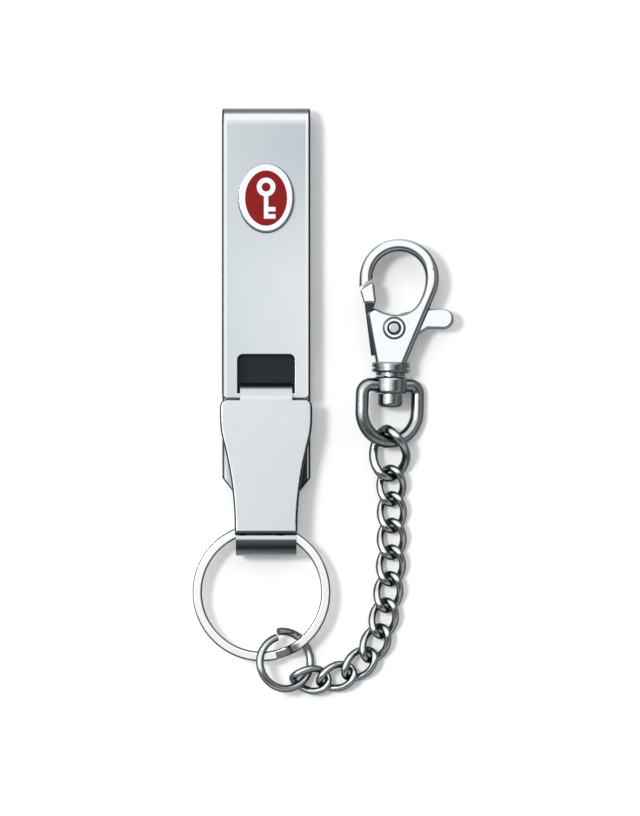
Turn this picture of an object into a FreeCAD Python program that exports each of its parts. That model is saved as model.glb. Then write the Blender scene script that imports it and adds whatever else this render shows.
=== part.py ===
"""Belt key clip with a key ring, a curb chain and a swivel snap hook, in millimetres.

The part lies flat: X runs across the clip, Y up the clip towards its bend and Z away from the belt.
The origin is the middle of the back leaf's outer face.  Pieces follow each other from the clip to
the hook, and each one is placed from the piece that carries it.
"""
import FreeCAD
import Part
import math
import os

Vector = FreeCAD.Vector
upright = Vector(0, 0, 1)

# Clip: one strip of spring steel folded round the belt
strip_width = 16.0
strip_thickness = 0.8
belt_gap = 4.4
clip_height = 69.6
front_leaf_height = 52.75
front_corner_radius = 1.0
back_chamfer_width = 2.0
back_chamfer_height = 2.55
strip_edge_round = 0.34
window_width = 10.3
window_height = 7.0
window_corner_radius = 1.0
window_edge_round = 0.15
crossbar_height = 1.1

# Badge on the front leaf
badge_width = 10.2
badge_height = 12.6
badge_thickness = 0.9
badge_rim = 1.3
enamel_depth = 0.45
badge_drop = 16.4
badge_edge_round = 0.4
key_bow_radius = 1.7
key_bow_hole_radius = 0.8
key_shank_width = 0.8
key_length = 7.4
key_tooth_length = 1.3
key_tooth_pitch = 1.3
key_tooth_count = 2

# Hanger: sheet hooked over the crossbar, with a flared plate and a rolled eye
hanger_thickness = 0.7
hanger_leaf_gap = 0.5
hanger_leg_gap = 0.4
hanger_leg_length = 6.0
hanger_hook_drop = 0.6
tongue_root_length = 1.2
tongue_width = 9.4
shoulder_width = 16.7
shoulder_height = 3.4
shoulder_corner_radius = 1.3
neck_width = 11.35
hanger_drop = 25.08
taper_height = 20.4
taper_turn_share = 0.2
hanger_edge_round = 0.45
hanger_back_edge_round = 0.15
eye_leaf_clearance = 0.35
eye_rise = 0.5
eye_extra_depth = 0.1
eye_end_deg = 82.0
eye_seam_width = 0.12
eye_side_step = 0.2
plate_bevel_length = 0.8
plate_bevel_depth = 0.55
eye_leg_height = 3.5
eye_leg_bend_radius = 1.2
eye_leg_bend_deg = 55.0
eye_leg_weld_depth = 0.18

# Split ring: two turns of flat wire
ring_outer_diameter = 25.0
ring_wire_width = 1.7
ring_wire_thickness = 0.8
ring_coil_gap = 0.45
ring_wire_round = 0.34
ring_eye_play = 1.78
ring_side_shift = 0.84
ring_axis_drop = 0.9
ring_joggle_bearing_deg = -53.0
ring_joggle_deg = 18.0
ring_end_gap_deg = 6.0

# Jump ring: an open oval of round wire, tilted over and under the split ring
jump_wire = 1.4
jump_long_radius = 5.26
jump_short_radius = 5.0
jump_tilt_deg = 30.3
jump_tilt_bearing_deg = 16.8
jump_bearing_deg = -71.7
jump_offset = 1.55
jump_gap_bearing_deg = 88.0
jump_gap_deg = 8.0
jump_end_step = 0.9

# Curb chain: twisted oval links
link_wire = 1.3
link_half_length = 3.25
link_half_width = 2.12
link_twist_deg = -50.0
link_overlap = 0.83
jump_link_offset = 0.65
jump_link_bearing_deg = -35.6
link_headings_deg = [-5.0, 17.0, 41.0, 64.0, 78.0, 82.0, 87.0, 89.5, 90.0, 92.0]
link_rolls_deg = [18.0, 12.0, 6.0, 2.0, 0, 0, 0, 0, 0, 0]
link_slopes_deg = [-1.5, -1.6, -1.6, -0.5, 0, 0, 0, 0, 0, 7.0]

# Connecting link between the chain and the swivel
connecting_wire = 1.6
connecting_half_length = 4.5
connecting_half_width = 3.02
connecting_twist_deg = -56.0
connecting_roll_deg = -10.0
connecting_heading_deg = 94.0
connecting_overlap = 0.9
connecting_bail_gap = 0.3

# Swivel bail: a wire bow on a bored barrel
bail_wire = 2.4
bail_half_width = 5.5
bail_depth = 11.9
bail_corner_radius = 1.6
bail_roll_deg = 23.5
bail_heading_deg = 88.5
barrel_diameter = 6.0
barrel_height = 3.05
barrel_edge_round = 0.55
swivel_play = 0.13
stud_diameter = 2.6
stud_clearance = 0.06
stud_head_diameter = 4.4
stud_head_height = 2.4
stud_head_round = 0.8
stud_seat_depth = 2.6

# Snap hook body: two cheeks, a hooked nose and a round flange
hook_thickness = 5.0
hook_edge_round = 1.0
hook_corner_extra = 0.05
flange_diameter = 6.9
flange_height = 2.0
flange_edge_round = 0.5
flange_groove_rise = 0.7
flange_groove_height = 0.25
flange_groove_depth = 0.4
flange_neck_diameter = 5.4
flange_neck_height = 0.56
hook_arch_radius = 7.2
hook_arch_x = 1.08
hook_arch_y = 17.72
hook_arm_width = 2.4
hook_crown_width = 2.35
hook_nose_spare = 1.6
hook_waist_half_width = 2.65
hook_cheek_left = 4.6
hook_cheek_top = 11.26
throat_corner_x = 3.2
throat_corner_y = 12.35
throat_low_x = 0.89
throat_low_y = 11.14

# Trigger: gate, spine and thumb lever on one rivet
rivet_x = 0.41
rivet_y = 8.67
rivet_diameter = 1.9
rivet_clearance = 0.05
rivet_head_diameter = 2.25
rivet_head_height = 0.5
rivet_head_sink = 0.25
rivet_head_round = 0.4
rivet_head_clearance = 0.2
boss_diameter = 4.0
boss_height = 0.35
boss_edge_round = 0.3
slot_side_clearance = 0.15
slot_floor_y = 3.1
slot_roof_y = 12.75
slot_roof_inner_x = 3.9
trigger_thickness = 2.3
trigger_edge_round = 0.5
gate_edge_round = 0.45
gate_radius = 9.2
gate_nose_gap = 0.55
gate_inset = 0.2
gate_inner_x = 2.92
gate_foot_y = 13.0
spine_proud = 0.65
spine_foot_y = 3.6
spine_width = 1.6
hub_radius = 2.3
link_inner_x = 3.5
link_inner_y = 12.0
lever_top_y = 12.35
lever_low_y = 8.7
lever_tip_x = 11.15
lever_root_x = 4.95
lever_root_y = 7.62
lever_tip_round = 1.6

# Wound spring round the rivet, between the trigger and a cheek
spring_wire = 0.35
spring_pitch = 0.8
spring_turns = 1.25
spring_inner_clearance = 0.2
spring_pocket_clearance = 0.15
spring_leg_length = 0.6

# General
ground_clearance = 0.02
cut_overrun = 1.0
full_turn_deg = 360.0
quarter_shares = [0, 0.25, 0.5, 0.75, 1]
round_limit_share = 0.45
round_fill_share = 0.9
ring_sample_count = 400
spring_sample_count = 120
rise_sample_count = 180


def rad(degrees):
    return math.radians(degrees)


def heading(degrees):
    """Unit vector in the XY plane, counted from +X towards +Y."""
    return Vector(math.cos(rad(degrees)), math.sin(rad(degrees)), 0)


def unit(vector):
    return vector * (1 / vector.Length)


def arc(start, middle, end):
    return Part.Arc(start, middle, end).toShape()


def line(start, end):
    return Part.makeLine(start, end)


def prism(edges, depth):
    """Solid from a closed outline, swept along a depth vector."""
    return Part.Face(Part.Wire(edges)).extrude(depth)


def fuse(solids):
    return solids[0].multiFuse(solids[1:]).removeSplitter()


def polygon(points):
    return [line(points[index - 1], points[index]) for index in range(len(points))]


def limited(radius, wall):
    """Radius of an edge round, kept under half of the wall that it rounds."""
    return min(radius, wall * round_limit_share)


def rounded(solid, radius, chosen):
    """Rounds the edges that a test of each edge's bounding box picks."""
    return solid.makeFillet(radius, [edge for edge in solid.Edges if chosen(edge.BoundBox)])


def placed(solid, origin, along, up):
    """Moves a solid from its own frame, X along it and Z up from it, to its place."""
    across = unit(up.cross(along))
    raised = unit(along.cross(across))
    matrix = FreeCAD.Matrix(
        along.x, across.x, raised.x, origin.x,
        along.y, across.y, raised.y, origin.y,
        along.z, across.z, raised.z, origin.z,
        0, 0, 0, 1,
    )
    moved = solid.copy()
    moved.Placement = FreeCAD.Placement(matrix)
    return moved


# Sheet metal: a strip of even thickness along lines and arcs in the YZ plane

def strip_edge(piece, offset):
    """One side of a path piece, as (start, middle or None, end) points in the YZ plane."""
    if piece[0] == "line":
        start, end = piece[1], piece[2]
        run = math.hypot(end[0] - start[0], end[1] - start[1])
        side = (-(end[1] - start[1]) / run * offset, (end[0] - start[0]) / run * offset)
        return [(start[0] + side[0], start[1] + side[1]), None, (end[0] + side[0], end[1] + side[1])]
    centre, radius, first, last = piece[1:]
    inward = offset if last > first else -offset
    angles = (first, (first + last) / 2, last)
    reach = radius - inward
    return [(centre[0] + reach * math.cos(rad(a)), centre[1] + reach * math.sin(rad(a))) for a in angles]


def sheet_strip(path, thickness, width):
    """Solid sheet that follows the middle line of a path, centred on X = 0."""
    def flat(point):
        return Vector(-width / 2, point[0], point[1])

    sides = {}
    for sign in (1, -1):
        sides[sign] = [strip_edge(piece, sign * thickness / 2) for piece in path]
    edges = []
    for sign in (1, -1):
        for start, middle, end in sides[sign]:
            if middle is None:
                edges.append(line(flat(start), flat(end)))
            else:
                edges.append(arc(flat(start), flat(middle), flat(end)))
    edges.append(line(flat(sides[1][0][0]), flat(sides[-1][0][0])))
    edges.append(line(flat(sides[1][-1][2]), flat(sides[-1][-1][2])))
    return Part.Face(Part.Wire(Part.__sortEdges__(edges))).extrude(Vector(width, 0, 0))


# Wire: tubes along biarcs through points with tangents

def arc_from(start, tangent, end):
    """Point half way along the arc that leaves start along the tangent and ends at end."""
    chord = end - start
    side = chord - tangent * chord.dot(tangent)
    radius = chord.dot(chord) / (2 * side.Length)
    centre = start + unit(side) * radius
    return centre + unit((start + end) * 0.5 - centre) * radius


def biarc(start, start_tangent, end, end_tangent):
    """Two arcs that join two points and their tangents smoothly."""
    chord = end - start
    along = chord.dot(start_tangent + end_tangent)
    turn = 2 * (1 - start_tangent.dot(end_tangent))
    reach = (math.sqrt(along * along + turn * chord.dot(chord)) - along) / turn
    middle = (start + start_tangent * reach + end - end_tangent * reach) * 0.5
    first = arc(start, arc_from(start, start_tangent, middle), middle)
    second = arc(middle, arc_from(end, end_tangent * -1, middle), end)
    return [first, second]


def biarc_path(points, tangents):
    edges = []
    for index in range(len(points) - 1):
        edges += biarc(points[index], tangents[index], points[index + 1], tangents[index + 1])
    return Part.Wire(edges)


def sweep(path, profile):
    return path.makePipeShell([profile], True, False)


def round_tube(points, tangents, diameter):
    profile = Part.Wire([Part.Circle(points[0], tangents[0], diameter / 2).toShape()])
    return sweep(biarc_path(points, tangents), profile)


def least_gap(samples, apart):
    """Least distance between samples that lie at least so many places apart on the path."""
    least = math.inf
    for index, point in enumerate(samples):
        for other in samples[index + apart:]:
            least = min(least, (point - other).Length)
    return least


# Clip body
clip_top = clip_height / 2
clip_foot = -clip_height / 2
bend_middle_radius = (belt_gap + strip_thickness) / 2
bend_y = clip_top - bend_middle_radius - strip_thickness / 2
clip_front = belt_gap + 2 * strip_thickness
leaf_middle_z = clip_front - strip_thickness / 2
front_foot = clip_top - front_leaf_height
window_foot = front_foot + crossbar_height
window_top = window_foot + window_height


def rounded_box(x_half, y_low, y_high, z_low, z_high, radius):
    """Box centred on X = 0 with its two upper corners rounded."""
    box = Part.makeBox(2 * x_half, y_high - y_low, z_high - z_low, Vector(-x_half, y_low, z_low))
    return rounded(box, radius, lambda b: b.ZLength > (z_high - z_low) / 2 and b.YMin > (y_low + y_high) / 2)


def make_clip():
    middle = bend_middle_radius + strip_thickness / 2
    path = [
        ("line", (clip_foot, strip_thickness / 2), (bend_y, strip_thickness / 2)),
        ("arc", (bend_y, middle), bend_middle_radius, -90.0, 90.0),
        ("line", (bend_y, leaf_middle_z), (front_foot, leaf_middle_z)),
    ]
    body = sheet_strip(path, strip_thickness, strip_width)

    def corner_at(box, y):
        off = abs(box.YMin - y) + abs(box.YMax - y)
        return box.ZLength > strip_thickness / 2 and off < strip_thickness / 2

    def rim(box):
        return box.ZLength < strip_thickness / 2 or box.ZLength > belt_gap / 2

    body = rounded(body, front_corner_radius, lambda b: corner_at(b, front_foot))
    for side in (1, -1):
        edge_x = side * strip_width / 2
        corner = prism(polygon([
            Vector(edge_x, clip_foot, 0),
            Vector(edge_x - side * back_chamfer_width, clip_foot, 0),
            Vector(edge_x, clip_foot + back_chamfer_height, 0),
        ]), Vector(0, 0, strip_thickness))
        body = body.cut(corner)
    body = rounded(body, limited(strip_edge_round, strip_thickness), rim)
    window = rounded_box(
        window_width / 2, window_foot, window_top,
        leaf_middle_z - strip_thickness, leaf_middle_z + strip_thickness, window_corner_radius,
    )

    def window_rim(box):
        level = box.ZMin > clip_front - strip_thickness / 4
        inside = max(abs(box.XMin), abs(box.XMax)) < window_width / 2 + window_edge_round
        in_height = box.YMin > front_foot + crossbar_height / 2 and box.YMax < window_top + window_edge_round
        return level and inside and in_height

    return rounded(body.cut(window), window_edge_round, window_rim)


# Badge
badge_y = clip_top - badge_drop
badge_top = clip_front + badge_thickness
enamel_floor = badge_top - enamel_depth


def oval(width, height, z_low, z_high):
    long_axis = Vector(0, badge_y + height / 2, z_low)
    wide_axis = Vector(width / 2, badge_y, z_low)
    ellipse = Part.Ellipse(long_axis, wide_axis, Vector(0, badge_y, z_low))
    return prism([ellipse.toShape()], Vector(0, 0, z_high - z_low))


def make_key_figure():
    """Plain raised key: a ring bow, a shank and two teeth."""
    base = Vector(0, badge_y + key_length / 2 - key_bow_radius, enamel_floor)
    bow = Part.makeCylinder(key_bow_radius, enamel_depth, base, upright)
    hole = Part.makeCylinder(key_bow_hole_radius, enamel_depth, base, upright)
    foot = badge_y - key_length / 2
    shank_length = base.y - key_bow_hole_radius - foot
    shank_corner = Vector(-key_shank_width / 2, foot, enamel_floor)
    shank = Part.makeBox(key_shank_width, shank_length, enamel_depth, shank_corner)
    teeth = []
    for index in range(key_tooth_count):
        corner = Vector(0, foot + index * key_tooth_pitch, enamel_floor)
        reach = key_shank_width / 2 + key_tooth_length
        teeth.append(Part.makeBox(reach, key_shank_width, enamel_depth, corner))
    return fuse([bow.cut(hole), shank] + teeth)


def make_badge():
    plate = oval(badge_width, badge_height, clip_front, badge_top)
    plate = rounded(plate, badge_edge_round, lambda b: b.ZMin > badge_top - enamel_depth / 2)
    field = oval(badge_width - 2 * badge_rim, badge_height - 2 * badge_rim, enamel_floor, badge_top)
    figure = make_key_figure()
    base = fuse([plate.cut(field), figure])
    enamel, dot = sorted(field.cut(figure).Solids, key=lambda solid: -solid.Volume)
    return base, enamel, dot


# Hanger
plate_back = clip_front + hanger_leaf_gap
plate_front = plate_back + hanger_thickness
plate_middle = plate_back + hanger_thickness / 2
hanger_hook_radius = (plate_front - strip_thickness - hanger_leg_gap) / 2
hanger_axis = Vector(0, front_foot + crossbar_height / 2, leaf_middle_z)
shoulder_y = hanger_axis.y - hanger_hook_drop
eye_room = plate_front + eye_rise - strip_thickness - eye_leaf_clearance
eye_radius = (eye_room - eye_extra_depth) / 2
eye_middle_radius = eye_radius - hanger_thickness / 2
eye_y = shoulder_y - hanger_drop
eye_z = plate_front + eye_rise - eye_radius
eye_back = eye_z - eye_extra_depth - eye_radius + hanger_thickness
slot_middle_z = (eye_back + plate_back) / 2
plate_end = eye_y + eye_radius * math.cos(rad(eye_end_deg)) + eye_seam_width


def plate_outline():
    """Right half of the plate's front outline, from the tongue to the eye, as edges."""
    z = plate_back
    half_shoulder = shoulder_width / 2
    half_neck = neck_width / 2
    low = shoulder_y - shoulder_height
    foot = low - taper_height
    start = Vector(half_shoulder, low, z)
    end = Vector(half_neck, foot, z)
    join = start + (end - start) * taper_turn_share
    down = Vector(0, -1, 0)
    return [
        line(Vector(0, shoulder_y, z), Vector(half_shoulder, shoulder_y, z)),
        line(Vector(half_shoulder, shoulder_y, z), start),
        arc(start, arc_from(start, down, join), join),
        arc(join, arc_from(end, down * -1, join), end),
        line(end, Vector(half_neck, plate_end, z)),
        line(Vector(half_neck, plate_end, z), Vector(0, plate_end, z)),
        line(Vector(0, plate_end, z), Vector(0, shoulder_y, z)),
    ]


def make_hanger_plate():
    half = prism(plate_outline(), Vector(0, 0, hanger_thickness))
    plate = fuse([half, half.mirror(Vector(0, 0, 0), Vector(1, 0, 0))])

    def shoulder_corner(box):
        standing = box.ZLength > hanger_thickness / 2
        outermost = abs(box.XMin) > shoulder_width / 2 - hanger_thickness
        return standing and outermost and box.YMin > shoulder_y - hanger_thickness

    def rim_at(box, z):
        off = max(abs(box.ZMin - z), abs(box.ZMax - z))
        return off < hanger_thickness / 4 and box.YMax > plate_end + hanger_thickness

    plate = rounded(plate, shoulder_corner_radius, shoulder_corner)
    room = (hanger_thickness - hanger_back_edge_round) * round_fill_share
    plate = rounded(plate, min(hanger_edge_round, room), lambda b: rim_at(b, plate_front))
    plate = rounded(plate, hanger_back_edge_round, lambda b: rim_at(b, plate_back))
    bevel = prism(polygon([
        Vector(-neck_width, plate_end, plate_front),
        Vector(-neck_width, plate_end + plate_bevel_length, plate_front),
        Vector(-neck_width, plate_end, plate_front - plate_bevel_depth),
    ]), Vector(2 * neck_width, 0, 0))
    return plate.cut(bevel)


def make_hanger():
    hook_middle = hanger_hook_radius - hanger_thickness / 2
    leg_z = plate_front - 2 * hanger_hook_radius + hanger_thickness / 2
    hook_centre = (shoulder_y, plate_front - hanger_hook_radius)
    hook = sheet_strip([
        ("line", (shoulder_y - hanger_leg_length, leg_z), (shoulder_y, leg_z)),
        ("arc", hook_centre, hook_middle, -90.0, 90.0),
        ("line", (shoulder_y, plate_middle), (shoulder_y - tongue_root_length, plate_middle)),
    ], hanger_thickness, tongue_width)
    back_z = eye_z - eye_extra_depth
    roll_foot = back_z - eye_middle_radius
    leg_top = eye_y + eye_leg_height
    bend_centre = (leg_top, roll_foot + eye_leg_bend_radius)
    bend_end = (
        leg_top + eye_leg_bend_radius * math.sin(rad(eye_leg_bend_deg)),
        roll_foot + eye_leg_bend_radius * (1 - math.cos(rad(eye_leg_bend_deg))),
    )
    rise = plate_back + eye_leg_weld_depth - bend_end[1]
    leg_end = (bend_end[0] + rise / math.tan(rad(eye_leg_bend_deg)), bend_end[1] + rise)
    eye = sheet_strip([
        ("arc", (eye_y, eye_z), eye_middle_radius, eye_end_deg, 180.0),
        ("line", (eye_y - eye_middle_radius, eye_z), (eye_y - eye_middle_radius, back_z)),
        ("arc", (eye_y, back_z), eye_middle_radius, 180.0, 270.0),
        ("line", (eye_y, roll_foot), (leg_top, roll_foot)),
        ("arc", bend_centre, eye_leg_bend_radius, -90.0, eye_leg_bend_deg - 90.0),
        ("line", bend_end, leg_end),
    ], hanger_thickness, neck_width - 2 * eye_side_step)
    return fuse([make_hanger_plate(), hook, eye])


# Split ring
ring_radius = (ring_outer_diameter - ring_wire_width) / 2
ring_layer = ring_wire_thickness + ring_coil_gap
jump_reach_z = jump_long_radius * math.sin(rad(jump_tilt_deg))
jump_z = jump_reach_z + jump_wire / 2 + ground_clearance
ring_eye = Vector(-ring_side_shift, eye_y + ring_eye_play, slot_middle_z)
ring_slope = math.asin((ring_eye.z - jump_z) / (2 * ring_radius))
ring_down = Vector(0, -math.cos(ring_slope), -math.sin(ring_slope))
ring_normal = Vector(0, -math.sin(ring_slope), math.cos(ring_slope))
ring_centre = ring_eye + ring_down * ring_radius
ring_axis = ring_eye + ring_down * ring_axis_drop


def on_ring(degrees, height):
    """Point and clockwise tangent on the ring, at a bearing in its plane and a height over it."""
    up_plane = ring_down * -1
    out = Vector(1, 0, 0) * math.cos(rad(degrees)) + up_plane * math.sin(rad(degrees))
    tangent = Vector(1, 0, 0) * math.sin(rad(degrees)) - up_plane * math.cos(rad(degrees))
    return ring_centre + out * ring_radius + ring_normal * height, tangent


def ring_stations():
    """Bearings and heights of the front turn, the joggle and the back turn, clockwise."""
    top = ring_layer / 2
    turn = full_turn_deg - ring_joggle_deg - ring_end_gap_deg
    joggle = ring_joggle_bearing_deg
    front = [(joggle + turn * share, top) for share in reversed(quarter_shares)]
    back = [(joggle - ring_joggle_deg - turn * share, -top) for share in quarter_shares]
    return front + back


def ring_path():
    stations = [on_ring(bearing, height) for bearing, height in ring_stations()]
    return biarc_path([point for point, tangent in stations], [tangent for point, tangent in stations])


def ring_self_gap():
    """Least clear height between the two turns, where they lie over each other."""
    points = ring_path().discretize(ring_sample_count)
    quarter = ring_sample_count // 8
    least = math.inf
    for index, point in enumerate(points):
        for other in points[index + quarter:]:
            step = other - point
            rise = abs(step.dot(ring_normal))
            if (step - ring_normal * step.dot(ring_normal)).Length < ring_wire_width / 2:
                least = min(least, rise - ring_wire_thickness)
    return least


def make_ring():
    start = on_ring(*ring_stations()[0])[0]
    outward = unit(start - ring_centre - ring_normal * (ring_layer / 2))
    half_wide = outward * (ring_wire_width / 2)
    half_thick = ring_normal * (ring_wire_thickness / 2)
    wire_round = limited(ring_wire_round, ring_wire_thickness)
    corner_wide = outward * wire_round
    corner_thick = ring_normal * wire_round
    edges = []
    signs = [(1, 1), (-1, 1), (-1, -1), (1, -1)]
    diagonal_share = 1 - math.sqrt(0.5)
    for index, (wide, thick) in enumerate(signs):
        corner = start + half_wide * wide + half_thick * thick
        flat_end = corner - corner_wide * wide
        tall_end = corner - corner_thick * thick
        middle = corner - (corner_wide * wide + corner_thick * thick) * diagonal_share
        edges.append(arc(flat_end, middle, tall_end))
        next_wide, next_thick = signs[(index + 1) % len(signs)]
        next_corner = start + half_wide * next_wide + half_thick * next_thick
        if next_thick == thick:
            edges.append(line(flat_end, next_corner - corner_wide * next_wide))
        else:
            edges.append(line(tall_end, next_corner - corner_thick * next_thick))
    return sweep(ring_path(), Part.Wire(Part.__sortEdges__(edges)))


# Jump ring
jump_turn = rad(jump_bearing_deg)
jump_out = Vector(1, 0, 0) * math.cos(jump_turn) - ring_down * math.sin(jump_turn)
jump_spot = ring_centre + jump_out * (ring_radius + jump_offset)
jump_centre = Vector(jump_spot.x, jump_spot.y, jump_z)
jump_ahead = heading(jump_tilt_bearing_deg)
jump_long = jump_ahead * math.cos(rad(jump_tilt_deg)) - upright * math.sin(rad(jump_tilt_deg))
jump_short = upright.cross(jump_ahead)


def on_jump_ring(degrees, swell):
    """Point and tangent on the jump ring's oval, swollen outwards by a length."""
    long_radius = jump_long_radius + swell
    short_radius = jump_short_radius + swell
    cosine, sine = math.cos(rad(degrees)), math.sin(rad(degrees))
    point = jump_centre + jump_long * (long_radius * cosine) + jump_short * (short_radius * sine)
    tangent = unit(jump_short * (short_radius * cosine) - jump_long * (long_radius * sine))
    return point, tangent


def jump_ring_stations():
    turn = full_turn_deg - jump_gap_deg
    first = jump_gap_bearing_deg + jump_gap_deg / 2
    stations = []
    for share in quarter_shares:
        swell = jump_end_step * (share - 1 / 2)
        stations.append(on_jump_ring(first + turn * share, swell * abs(2 * share - 1)))
    return stations


def jump_ring_opening():
    """Clear way between the two cut ends, along the wire."""
    start, tangent = jump_ring_stations()[0]
    end = jump_ring_stations()[-1][0]
    return abs((start - end).dot(tangent))


def make_jump_ring():
    stations = jump_ring_stations()
    points = [point for point, tangent in stations]
    tangents = [tangent for point, tangent in stations]
    return round_tube(points, tangents, jump_wire)


# Chain
link_pitch = 2 * (link_half_length - link_overlap)


def curb_point(half_length, half_width, twist, angle):
    """Point and tangent of a twisted oval, in its own frame."""
    cosine, sine = math.cos(angle), math.sin(angle)
    lean = twist * cosine
    lean_rate = -twist * sine
    out = half_width * sine
    point = Vector(half_length * cosine, out * math.cos(lean), out * math.sin(lean))
    rate = Vector(
        -half_length * sine,
        half_width * (cosine * math.cos(lean) - sine * math.sin(lean) * lean_rate),
        half_width * (cosine * math.sin(lean) + sine * math.cos(lean) * lean_rate),
    )
    return point, unit(rate)


def make_curb_link(half_length, half_width, twist_deg, wire):
    angles = [0, math.pi / 2, math.pi]
    stations = [curb_point(half_length, half_width, rad(twist_deg), angle) for angle in angles]
    points = [point for point, tangent in stations]
    tangents = [tangent for point, tangent in stations]
    half = round_tube(points, tangents, wire)
    other = half.copy()
    other.rotate(Vector(0, 0, 0), upright, full_turn_deg / 2)
    return half.fuse(other)


def curb_rise(half_width, twist_deg, roll_deg):
    """Height that a twisted oval's middle line reaches over its own axis, when rolled about it."""
    heights = []
    for step in range(rise_sample_count):
        angle = math.pi * step / rise_sample_count
        lean = rad(twist_deg) * math.cos(angle) + rad(roll_deg)
        heights.append(half_width * math.sin(angle) * abs(math.sin(lean)))
    return max(heights)


def rolled_up(along, roll_deg):
    """Upward direction of a piece that is rolled about its own length, left side up."""
    left = unit(upright.cross(along))
    return upright * math.cos(rad(roll_deg)) - left * math.sin(rad(roll_deg))


def link_height(roll_deg):
    return curb_rise(link_half_width, link_twist_deg, roll_deg) + link_wire / 2 + ground_clearance


jump_link_reach = (jump_long_radius + jump_short_radius) / 2 + jump_link_offset
first_link = jump_centre + heading(jump_link_bearing_deg) * jump_link_reach
first_link.z = link_height(link_rolls_deg[0])


def sloped(heading_deg, slope):
    return heading(heading_deg) * math.cos(slope) + upright * math.sin(slope)


link_alongs = [sloped(turn, rad(slope)) for turn, slope in zip(link_headings_deg, link_slopes_deg)]
link_centres = []
link_joints = [first_link - link_alongs[0] * (link_pitch / 2)]
for link_along in link_alongs:
    link_centres.append(link_joints[-1] + link_along * (link_pitch / 2))
    link_joints.append(link_joints[-1] + link_along * link_pitch)

# Connecting link, sloping up from the chain to the swivel's height
swivel_z = flange_diameter / 2 + ground_clearance
bail_grip = (connecting_wire + bail_wire) / 2 + connecting_bail_gap
connecting_run = 2 * connecting_half_length - connecting_overlap - bail_grip
connecting_slope = math.asin((swivel_z - link_joints[-1].z) / connecting_run)
connecting_along = sloped(connecting_heading_deg, connecting_slope)
connecting_centre = link_joints[-1] + connecting_along * (connecting_half_length - connecting_overlap)
bail_low = connecting_centre + connecting_along * (connecting_half_length - bail_grip)

# Swivel: X along the axis towards the hook, Z up
swivel_along = heading(bail_heading_deg)
swivel_origin = bail_low + swivel_along * bail_depth
barrel_top = -swivel_play
barrel_foot = barrel_top - barrel_height


def swivel_point(across, along, rise=0):
    """Point in the swivel's own frame: across to the right, along the axis, up."""
    return Vector(along, -across, rise)


def axis_cylinder(diameter, low, high):
    return Part.makeCylinder(diameter / 2, high - low, swivel_point(0, low), Vector(1, 0, 0))


def make_bail():
    arm_y = -(swivel_play + barrel_height / 2)
    bow_y = -bail_depth + bail_half_width
    corner_share = math.sqrt(0.5)
    edges = []
    for side in (1, -1):
        inner = swivel_point(side * stud_diameter, arm_y)
        bend_start = swivel_point(side * (bail_half_width - bail_corner_radius), arm_y)
        bend_middle = swivel_point(
            side * (bail_half_width - bail_corner_radius * (1 - corner_share)),
            arm_y - bail_corner_radius * (1 - corner_share),
        )
        bend_end = swivel_point(side * bail_half_width, arm_y - bail_corner_radius)
        bow_end = swivel_point(side * bail_half_width, bow_y)
        edges += [line(inner, bend_start), arc(bend_start, bend_middle, bend_end), line(bend_end, bow_end)]
    edges.append(arc(swivel_point(bail_half_width, bow_y), swivel_point(0, -bail_depth),
                     swivel_point(-bail_half_width, bow_y)))
    path = Part.Wire(Part.__sortEdges__(edges))
    start = swivel_point(stud_diameter, arm_y)
    profile = Part.Wire([Part.Circle(start, Vector(0, 1, 0), bail_wire / 2).toShape()])
    bow = sweep(path, profile)
    barrel = axis_cylinder(barrel_diameter, barrel_foot, barrel_top)
    barrel = rounded(barrel, barrel_edge_round, lambda b: b.XLength < barrel_height / 2)
    bore_diameter = stud_diameter + 2 * stud_clearance
    bore = axis_cylinder(bore_diameter, barrel_foot - cut_overrun, barrel_top + cut_overrun)
    bail = fuse([barrel, bow]).cut(bore)
    return placed(bail, swivel_origin, swivel_along, rolled_up(swivel_along, bail_roll_deg))


def make_stud():
    head_top = barrel_foot - swivel_play
    head = axis_cylinder(stud_head_diameter, head_top - stud_head_height, head_top)
    head = rounded(head, stud_head_round, lambda b: b.XMax < head_top - stud_head_height / 2)
    stem = axis_cylinder(stud_diameter, head_top, stud_seat_depth)
    return placed(fuse([head, stem]), swivel_origin, swivel_along, upright)


# Snap hook, drawn in the swivel's frame
waist_y = flange_neck_height + flange_height - flange_edge_round
arch_centre = swivel_point(hook_arch_x, hook_arch_y)
rivet_centre = swivel_point(rivet_x, rivet_y)
nose_radius = gate_radius + gate_nose_gap
half_boss = hook_thickness / 2 + boss_height
hook_rim_round = limited(hook_edge_round, hook_arm_width)
rivet_head_seat = half_boss - rivet_head_sink - rivet_head_height
throat_radius = hook_arch_radius - hook_arm_width
throat_y = hook_arch_y + hook_arm_width - hook_crown_width


def across_rivet(across, radius):
    """Height of a circle round the rivet, over the point so far across the hook."""
    return rivet_y + math.sqrt(radius * radius - (across - rivet_x) ** 2)


def cheek_left(along):
    """Left edge of the cheeks at a height along the hook."""
    share = (along - waist_y) / (hook_cheek_top - waist_y)
    return -(hook_waist_half_width + (hook_cheek_left - hook_waist_half_width) * share)


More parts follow.
